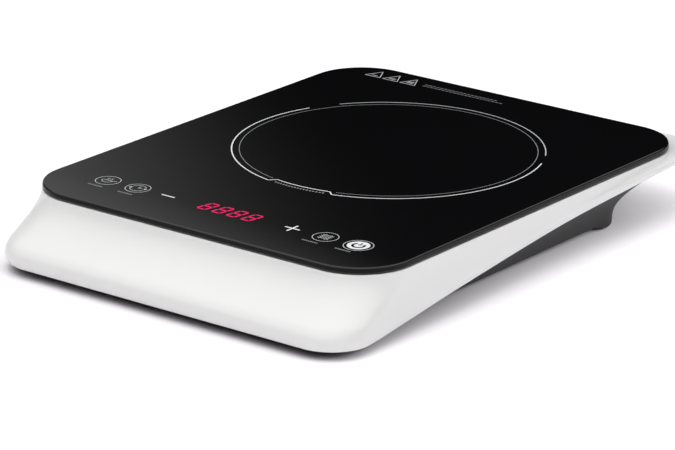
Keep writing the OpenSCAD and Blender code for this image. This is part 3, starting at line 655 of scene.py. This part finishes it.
def cut_base(piece):
    """Adds the base's posts, then cuts the screw recesses, foot recesses, air slots and cord inlet."""
    fan = centre_of("fan_frame")[:2]
    inlet = centre_of("cord_gland")
    gland_low, gland_high = corners("cord_gland")

    def along_inlet(radius, front, rear):
        return cylinder_mesh(radius, (inlet[0], front, inlet[2]), (inlet[0], rear, inlet[2]), 64, "y")

    screws = screw_places("housing_screws")
    added = [along_inlet(9, gland_low[1] - 2, gland_high[1] - 3.2)]
    post_low = FLOOR_Z + 0.6
    for node, radius in POST_RADII.items():
        added += [cylinder_mesh(radius, (x, y, post_low), (x, y, POST_TOPS[node]))
                  for x, y in screw_places(node)]
    apply_boolean(piece, added, "UNION")
    cuts = [cylinder_mesh(3.7, (x, y, 0), (x, y, HEAD_SEAT_Z), 48) for x, y in screws]
    for foot in FEET:
        x, y = centre_of(foot)[:2]
        cuts.append(cylinder_mesh(9.05, (x, y, 0), (x, y, FOOT_H), 64))
    for r in INTAKE_RADII:
        gap = math.degrees(1.6 / (r + 2))
        for start in range(0, 360, 45):
            cuts.append(arc_slot(fan, r, r + 4.5, start + gap, start + 45 - gap, 0, FLOOR_Z + 4))
    for i in range(EXHAUST_SLOTS):
        x = inlet[0] + 24 + EXHAUST_PITCH * i
        cuts.append(box_mesh((x - 1.7, 124, 10), (x + 1.7, 184, 25)))
    apply_boolean(piece, cuts, "DIFFERENCE")
    bores = [cylinder_mesh(2.1, (x, y, HEAD_SEAT_Z - 1), (x, y, POST_TOP + 2)) for x, y in screws]
    bores.append(along_inlet(6.02, gland_low[1] - 9, gland_high[1] + 9))
    apply_boolean(piece, bores, "DIFFERENCE")
    finish_mesh(piece, 40)


def screw_places(node):
    """Axes of the screws in a grouped node, from its separate solids."""
    mesh = frame["nodes"][node].data
    bm = bmesh.new()
    bm.from_mesh(mesh)
    bmesh.ops.remove_doubles(bm, verts=bm.verts, dist=1e-6)
    left = set(bm.verts)
    places = []
    while left:
        start = left.pop()
        island, queue = [start], [start]
        while queue:
            for e in queue.pop().link_edges:
                for v in e.verts:
                    if v in left:
                        left.remove(v)
                        island.append(v)
                        queue.append(v)
        xs = [v.co.x for v in island]
        ys = [v.co.y for v in island]
        places.append(((min(xs) + max(xs)) / 2 / MM, (min(ys) + max(ys)) / 2 / MM))
    bm.free()
    return sorted(places)


def make_feet():
    """Four rubber pads, each with a standing ring round a shallow dish."""
    profile = [(0.01, 0.05), (5.6, 0.05), (5.9, 0.35), (6.6, 0.35), (6.9, 0.0), (7.6, 0.0), (8.1, 0.25),
               (8.25, 0.8), (8.9, 0.9), (9.0, 1.2), (9.0, 3.1), (8.8, FOOT_H), (0.01, FOOT_H)]
    for name in FEET:
        x, y = centre_of(name)[:2]
        rings = revolved(profile, (x, y, 0), 72)
        add_piece(name + "_pad", *loft(rings, caps="round"), MATERIALS["foot_rubber"], "foot_rubber",
                  replaces=[name])


# ---------------------------------------------------------------- wound parts inside

def make_coil():
    """A flat spiral of litz bundle, as wide and as thick as the winding."""
    low, high = corners("coil_winding")
    outer = (high[0] - low[0]) / 2
    inner, bundle, turns, sides = 26.0, 3.1, 20, 14
    a = np.linspace(0, 2 * np.pi * (turns - 0.02), turns * 60)
    r = inner + bundle / 2 + (outer - inner - bundle) * a / a[-1]
    path = np.stack([r * np.cos(a), r * np.sin(a), 0 * a], 1) + centre_of("coil_winding")
    turn = 2 * np.pi * np.arange(sides) / sides
    across = np.sign(np.cos(turn)) * np.abs(np.cos(turn)) ** 0.8 * (bundle / 2 - 0.04)
    upward = np.sign(np.sin(turn)) * np.abs(np.sin(turn)) ** 0.8 * ((high[2] - low[2]) / 2 - 0.05)
    rings = []
    for point, angle in zip(path, a):
        outward = np.array([math.cos(angle), math.sin(angle), 0])
        rings.append(point + across[:, None] * outward + upward[:, None] * (0, 0, 1))
    add_piece("coil_spiral", *loft(rings, caps="round"), MATERIALS["copper_wire"], "copper_wire",
              replaces=["coil_winding"], sharp=60)


def spring(centre, r0, r1, z0, z1, turns, wire):
    """A wire spring that may taper, with closed ends."""
    t = np.linspace(0, 1, int(turns * 28))
    a = 2 * np.pi * turns * t
    rise = smooth((t - 0.06) / 0.88)
    r = r0 + (r1 - r0) * t
    z = z0 + wire + (z1 - z0 - 2 * wire) * rise
    return swept_tube(np.stack([centre[0] + r * np.cos(a), centre[1] + r * np.sin(a), z], 1), wire, 10)


def make_springs():
    """Wire springs under the coil and behind the touch fields."""
    low, high = corners("coil_springs")
    places = screw_places("coil_springs")
    radius = (high[0] - max(x for x, y in places)) - 0.5
    parts = [spring(c, radius, radius, low[2], high[2], 6.5, 0.5) for c in places]
    add_piece("coil_spring_wires", *joined(parts), MATERIALS["spring_steel"], "spring_steel",
              replaces=["coil_springs"], sharp=80)
    low, high = corners("touch_springs")
    radius = (high[1] - low[1]) / 2 - 0.35
    parts = [spring(c, 2.6, radius, low[2], high[2], 5, 0.32) for c in screw_places("touch_springs")]
    add_piece("touch_spring_wires", *joined(parts), MATERIALS["spring_steel"], "spring_steel",
              replaces=["touch_springs"], sharp=80)


def soften_nodes():
    """Smooth shading for every CAD node, round wires and a small bevel on moulded blocks."""
    wires = ("coil_leads", "thermistor_lead", "fan_lead", "line_filter_windings", "choke_winding")
    blocks = ("resonant_capacitor", "filter_capacitor", "x_capacitor", "smps_transformer", "driver_chips",
              "igbt", "bridge_rectifier", "coil_terminals", "mains_terminals", "board_connectors",
              "digit_display", "display_bracket", "air_baffle", "fuse", "current_transformer", "buzzer",
              "electrolytic_capacitors", "ferrite_bars", "heatsink", "cord_gland")
    for name, node in frame["nodes"].items():
        for face in node.data.polygons:
            face.use_smooth = True
        node.data.set_sharp_from_angle(angle=math.radians(60 if name in wires else 32))
        if name in blocks:
            bevel = node.modifiers.new("edges", "BEVEL")
            bevel.width = 0.25 * MM
            bevel.segments = 2
            bevel.limit_method = "ANGLE"
            bevel.angle_limit = math.radians(50)
            bevel.harden_normals = True


# ---------------------------------------------------------------- prints on the glass

def ribbon(points, width, closed=False):
    """A thin flat line of even width along points on the glass."""
    p = np.asarray(points, float)
    t = np.roll(p, -1, 0) - np.roll(p, 1, 0) if closed else np.gradient(p, axis=0)
    t /= np.linalg.norm(t, axis=1)[:, None]
    side = np.stack([-t[:, 1], t[:, 0]], 1) * width / 2
    rings = [np.array([(*(q + s), TOP), (*(q - s), TOP), (*(q - s), PRINT_LOW), (*(q + s), PRINT_LOW)])
             for q, s in zip(p, side)]
    return loft(rings, closed=closed, caps="round")


def polygon_plate(points, z0, z1):
    """A flat plate with straight edges."""
    plan = np.asarray(points, float)
    n = len(plan)
    verts = np.concatenate([np.column_stack([plan, np.full(n, z)]) for z in (z0, z1)])
    return verts, ring_faces(2, n, False) + [tuple(range(n)), tuple(n + i for i in range(n))]


def arc(centre, radius, a0, a1, steps=24):
    a = np.radians(np.linspace(a0, a1, steps))
    return np.stack([centre[0] + radius * np.cos(a), centre[1] + radius * np.sin(a)], 1)


def circle(centre, radius, steps=64):
    return arc(centre, radius, 0, 360 * (1 - 1 / steps), steps)


def line(a, b):
    return np.array([a, b], float)


def ink(lines, width):
    return [ribbon(p, width) for p in lines]


def loops(lines, width):
    return [ribbon(p, width, closed=True) for p in lines]


def add_print(name, parts, look, slot="black_glass"):
    """Makes the marks on the glass into one piece."""
    add_piece(name, *joined(parts), MATERIALS[look], slot)


RING_OUT = 102.2               # radii of the zone's two rings
RING_IN = 97.2


def make_zone_print():
    """Two rings round the zone; the outer one steps inward along the front, over a row of dashes."""
    c = (0, ZONE_Y)
    stepped = np.concatenate([arc(c, RING_OUT, 158.2, 258.4, 150), arc(c, RING_IN, 260.2, 284.4, 40),
                              arc(c, RING_OUT, 286.2, 381.2, 140)])
    add_print("zone_ring_print", ink([stepped], 0.85), "white_print")
    rear = [arc(c, RING_OUT, 30.5, 145.6, 170)]
    add_print("zone_rear_print", ink(rear, 0.75), "soft_print")
    inner = [arc(c, RING_IN, -73.2, 257.8, 320)]
    dashes = [arc(c, RING_OUT - 0.8, a, a + 0.75, 4) for a in np.arange(261.6, 283.6, 1.3)]
    add_print("zone_inner_print", ink(inner, 0.5) + ink(dashes, 1.5), "grey_print")


TOUCH_Y = centre_of("touch_springs")[1]
TOUCH_X = [x for x, y in screw_places("touch_springs")]


def make_touch_print():
    """A sign over each touch field, with a row of dashes in front of the ringed ones."""
    pan, timer, minus, plus, grill, power = [(x, TOUCH_Y) for x in TOUCH_X]
    rings = loops([circle(p, 8.2) for p in (pan, timer, grill)], 0.5)
    rings += loops([circle(power, 9.3)], 0.55)
    add_print("touch_rings_print", rings, "soft_print")
    signs = ink(pan_sign(pan) + grill_sign(grill) + timer_sign(timer), 0.5) + arrow_tips(timer)
    add_print("touch_symbols_print", signs, "soft_print")
    x, y = plus
    reach, gap = 5.6, 0.66
    bars = [line((minus[0] - 5.2, y), (minus[0] + 5.2, y)), line((x - reach, y), (x + reach, y)),
            line((x, y - reach), (x, y - gap)), line((x, y + gap), (x, y + reach))]
    add_print("touch_bars_print", ink(bars, 1.3), "white_print")
    dashes = []
    y = TOUCH_Y - 12.4
    for x in (pan[0] - 0.6, timer[0] - 0.6, grill[0] - 3, power[0] - 3):
        dashes += [line((x - 5.4 + 1.5 * k, y), (x - 4.5 + 1.5 * k, y)) for k in range(8)]
    add_print("touch_dashes_print", ink(dashes, 1.5), "grey_print")
    add_print("power_button_print", power_disc(power), "white_print")


def pan_sign(c):
    """A pan with a handle and two wisps of steam."""
    x, y = c
    steam = [spline([(w, y + 1.6), (w + 0.8, y + 2.6), (w, y + 3.6), (w + 0.8, y + 4.6)])
             for w in (x - 2.4, x + 0.4)]
    return steam + [line((x - 4.6, y + 0.4), (x + 3.6, y + 0.4)), arc((x - 0.5, y + 0.4), 3.9, 180, 360),
                    line((x + 3.6, y + 0.2), (x + 6.2, y + 1.4))]


def grill_sign(c):
    """A grid of four bars across two."""
    x, y = c
    across = [line((x - 4.2, y + dy), (x + 4.2, y + dy)) for dy in (-3, -1, 1, 3)]
    return across + [line((x + dx, y - 4.4), (x + dx, y + 4.4)) for dx in (-2.2, 2.2)]


def timer_sign(c):
    """Clock hands inside two chasing arcs."""
    return [arc(c, 5.2, 25, 165), arc(c, 5.2, 205, 345), line(c, (c[0] + 2.6, c[1] + 1.2)),
            line(c, (c[0], c[1] + 3.2))]


def arrow_tips(c):
    """The points of the timer's two arcs."""
    tips = []
    for sign in (1, -1):
        x, y = c[0] + sign * 5.1, c[1] + sign * 1.4
        tips.append(polygon_plate([(x - 1.4, y + sign * 0.2), (x + 1.4, y + sign * 0.2),
                                   (x, y - sign * 2.2)][::sign], PRINT_LOW, TOP))
    return tips


def power_disc(centre):
    """A filled disc with a round power sign left open in it."""
    c = np.array(centre)
    z = (PRINT_LOW, TOP)
    gap, half = 38, 0.55
    parts = loops([circle(centre, 5.9, 72)], 2.6)
    parts += [arc_slot(c, 0.02, 2.9, 90 + gap, 450 - gap, *z, 40)]
    parts += [polygon_plate([(c[0] + s * half, c[1] + 0.6), (c[0] + s * 2.35, c[1] + 1.9),
                             (c[0] + s * 3.2, c[1] + 3.6), (c[0] + s * half, c[1] + 4.75)][::s], *z)
              for s in (1, -1)]
    return parts


DIGIT_W, DIGIT_H, DIGIT_BAR, DIGIT_PITCH = 8.0, 13.8, 1.7, 11.6
DIGIT_LEAN = 0.2               # sideways shift per unit of height


def make_digits():
    """Four slanted seven-segment figures behind the glass, all segments lit."""
    centre_x = centre_of("digit_display")[0]
    parts = []
    for k in range(4):
        place = np.array((centre_x + (k - 1.5) * DIGIT_PITCH, TOUCH_Y))
        parts += [segment(place + a, place + b) for a, b in seven_segments()]
    add_print("digit_segments", parts, "red_digit", slot="display_black")


def seven_segments():
    """End points of a figure's level and upright bars, from its centre."""
    x, y = DIGIT_W / 2 - DIGIT_BAR / 2, DIGIT_H / 2 - DIGIT_BAR / 2
    gap = 0.55 * DIGIT_BAR
    level = [((-x + gap, s), (x - gap, s)) for s in (y, 0, -y)]
    upright = [((s, a + gap), (s, a + y - gap)) for s in (-x, x) for a in (0, -y)]
    return level + upright


def segment(a, b):
    """A pointed bar between two points, leaning to the right."""
    t = (b - a) / np.linalg.norm(b - a)
    half = DIGIT_BAR / 2 * 0.86
    s = np.array([-t[1], t[0]]) * half
    tip = t * half
    plan = [a - tip, a - s, b - s, b + tip, b + s, a + s]
    plan = [(x + DIGIT_LEAN * (y - TOUCH_Y), y) for x, y in plan]
    return polygon_plate(plan, PRINT_LOW, TOP - 0.005)


def make_rear_print():
    """Three plain triangles with one, two and three bars, and two rows of dashes beside them."""
    y = GLASS_Y + 153.5
    marks, dashes = [], []
    for k in range(3):
        x = -106.5 + 14.8 * k
        tri = np.array([(x - 6.3, y), (x + 6.3, y), (x, y + 12.2)])
        dense = [tri[i] + (tri[(i + 1) % 3] - tri[i]) * t
                 for i in range(3) for t in np.linspace(0, 1, 12, endpoint=False)]
        marks += loops([dense], 0.6)
        heights = [y + 2.6 + 1.5 * j for j in range(k + 1)]
        marks += ink([line((x - 2.6, h), (x + 2.6, h)) for h in heights], 0.7)
    for h, count in ((y + 3.4, 21), (y + 6.5, 19)):
        starts = [-66 + 3.2 * k for k in range(count)]
        dashes += ink([line((x, h), (x + 2.4, h)) for x in starts], 0.7)
    add_print("rear_dashes_print", dashes, "grey_print")
    add_print("rear_marks_print", marks, "soft_print")


# ---------------------------------------------------------------- floor, light and camera

VIEW_AZIMUTH, VIEW_ELEVATION, VIEW_ROLL = 37.31, 18.97, 0.51
VIEW_DISTANCE = 8.440          # in widths of the glass plate
VIEW_LENS = 205.6              # in millimetres, on a sensor 36 mm wide

GLOW_ELEVATION = 19.5
GLOW_DISTANCE = 1.5            # in metres
GLOW_TURN = 210                # degrees that the glow's edge leans
GLOW_SHIFT = -0.07             # sideways shift of its edge, in metres
GLOW_FADE = 0.3                # half the width of its soft edge, in metres
GLOW_LIGHT = 0.5


def direction(azimuth, elevation):
    """The way towards a place that far to the right of the front and that far up, in degrees."""
    a, e = math.radians(azimuth), math.radians(elevation)
    return Vector((math.sin(a) * math.cos(e), -math.cos(a) * math.cos(e), math.sin(e)))


def make_floor():
    """A pale table top just under the feet."""
    bpy.ops.mesh.primitive_plane_add(size=12, location=(0, 0, -0.00005))
    floor = bpy.context.object
    floor.name = "studio_floor"
    floor.data.materials.append(material("studio_floor", (0.82, 0.80, 0.825), 0.8, spread=0.0, bump=0,
                                         specular=0.1))


def area_light(name, target, azimuth, elevation, distance, size, power):
    """A rectangular lamp that looks at the target."""
    data = bpy.data.lights.new(name, "AREA")
    data.shape = "RECTANGLE"
    data.size, data.size_y = size
    data.energy = power
    lamp = bpy.data.objects.new(name, data)
    back = direction(azimuth, elevation)
    lamp.location = Vector(target) + back * distance
    lamp.rotation_euler = back.to_track_quat("Z", "Y").to_euler()
    bpy.context.scene.collection.objects.link(lamp)
    return lamp


def make_light():
    """A key lamp overhead, a weak one in front, and two that light only the floor."""
    middle = (0, 0, 0.03)
    key = area_light("key", middle, 12, 72, 1.7, (1.3, 1.3), 9)
    key.visible_glossy = False
    area_light("front_fill", middle, 8, 34, 2.0, (1.6, 0.9), 0.8)
    only_floor = bpy.data.collections.new("floor_only")
    only_floor.objects.link(bpy.data.objects["studio_floor"])
    for name, azimuth, power in (("floor_fill_side", 100, 15), ("floor_fill_rear", 160, 9)):
        fill = area_light(name, middle, azimuth, 27, 1.8, (1.2, 0.8), power)
        fill.light_linking.receiver_collection = only_floor
    make_sky()
    make_glow()
    scene = bpy.context.scene
    scene.view_settings.view_transform = "Standard"
    scene.view_settings.look = "None"


def make_sky():
    """An even studio sky: dark along the horizon and bright overhead."""
    world = bpy.data.worlds.new("studio")
    bpy.context.scene.world = world
    world.use_nodes = True
    nodes, links = world.node_tree.nodes, world.node_tree.links
    place = nodes.new("ShaderNodeTexCoord")
    split = nodes.new("ShaderNodeSeparateXYZ")
    ramp = nodes.new("ShaderNodeValToRGB")
    ramp.color_ramp.elements[0].position = 0.40
    ramp.color_ramp.elements[0].color = (0.02, 0.02, 0.02, 1)
    ramp.color_ramp.elements[1].position = 0.62
    ramp.color_ramp.elements[1].color = (1, 1, 1, 1)
    links.new(place.outputs["Generated"], split.inputs["Vector"])
    links.new(split.outputs["Z"], ramp.inputs["Fac"])
    links.new(ramp.outputs["Color"], nodes["Background"].inputs["Color"])
    nodes["Background"].inputs["Strength"].default_value = 1.27


def make_glow():
    """A soft panel far behind the object, seen only as a pale gradient in the glass."""
    bpy.ops.mesh.primitive_plane_add(size=1.6)
    panel = bpy.context.object
    panel.name = "glow_panel"
    way = direction(VIEW_AZIMUTH + 180, GLOW_ELEVATION)
    panel.location = Vector((-0.12, -0.14, 0.05)) + way * GLOW_DISTANCE
    panel.rotation_euler = (-way).to_track_quat("Z", "Y").to_euler()
    panel.visible_camera = False
    panel.visible_diffuse = False
    m = bpy.data.materials.new("glow_panel")
    m.use_nodes = True
    nodes, links = m.node_tree.nodes, m.node_tree.links
    nodes.remove(nodes["Principled BSDF"])
    light = nodes.new("ShaderNodeEmission")
    place = nodes.new("ShaderNodeTexCoord")
    turn = nodes.new("ShaderNodeMapping")
    turn.inputs["Rotation"].default_value = (0, 0, math.radians(GLOW_TURN))
    turn.inputs["Location"].default_value = (GLOW_SHIFT, 0, 0)
    split = nodes.new("ShaderNodeSeparateXYZ")
    fade = nodes.new("ShaderNodeMapRange")
    fade.interpolation_type = "SMOOTHERSTEP"
    fade.inputs["From Min"].default_value = -GLOW_FADE
    fade.inputs["From Max"].default_value = GLOW_FADE
    fade.inputs["To Max"].default_value = GLOW_LIGHT
    links.new(place.outputs["Object"], turn.inputs["Vector"])
    links.new(turn.outputs["Vector"], split.inputs["Vector"])
    links.new(split.outputs["X"], fade.inputs["Value"])
    links.new(fade.outputs["Result"], light.inputs["Strength"])
    links.new(light.outputs["Emission"], nodes["Material Output"].inputs["Surface"])
    panel.data.materials.append(m)


def make_camera():
    """The photograph's view: 37 degrees to the right of the front and 19 above the table."""
    roll = math.radians(VIEW_ROLL)
    width = GLASS_W * MM
    aim = Vector((0.240 * width, GLASS_Y * MM - 0.403 * width, TOP * MM))
    back = direction(VIEW_AZIMUTH, VIEW_ELEVATION)
    right = (-back).cross(Vector((0, 0, 1))).normalized()
    up = right.cross(-back)
    x = right * math.cos(roll) + up * math.sin(roll)
    y = up * math.cos(roll) - right * math.sin(roll)
    data = bpy.data.cameras.new("camera")
    data.sensor_width = 36
    data.lens = VIEW_LENS
    camera = bpy.data.objects.new("camera", data)
    place = aim + back * VIEW_DISTANCE * width
    turn = Matrix((x, y, back)).transposed().to_4x4()
    camera.matrix_world = Matrix.Translation(place) @ turn
    bpy.context.scene.collection.objects.link(camera)
    bpy.context.scene.camera = camera


for row in frame["record"]["subparts"]:
    node = frame["nodes"][row["node"]]
    node.data.materials.clear()
    node.data.materials.append(MATERIALS[row["material_slot"]])
soften_nodes()
make_coil()
make_springs()
make_housing()
make_glass()
make_base()
make_feet()
make_zone_print()
make_touch_print()
make_digits()
make_rear_print()
make_floor()
make_light()
make_camera()
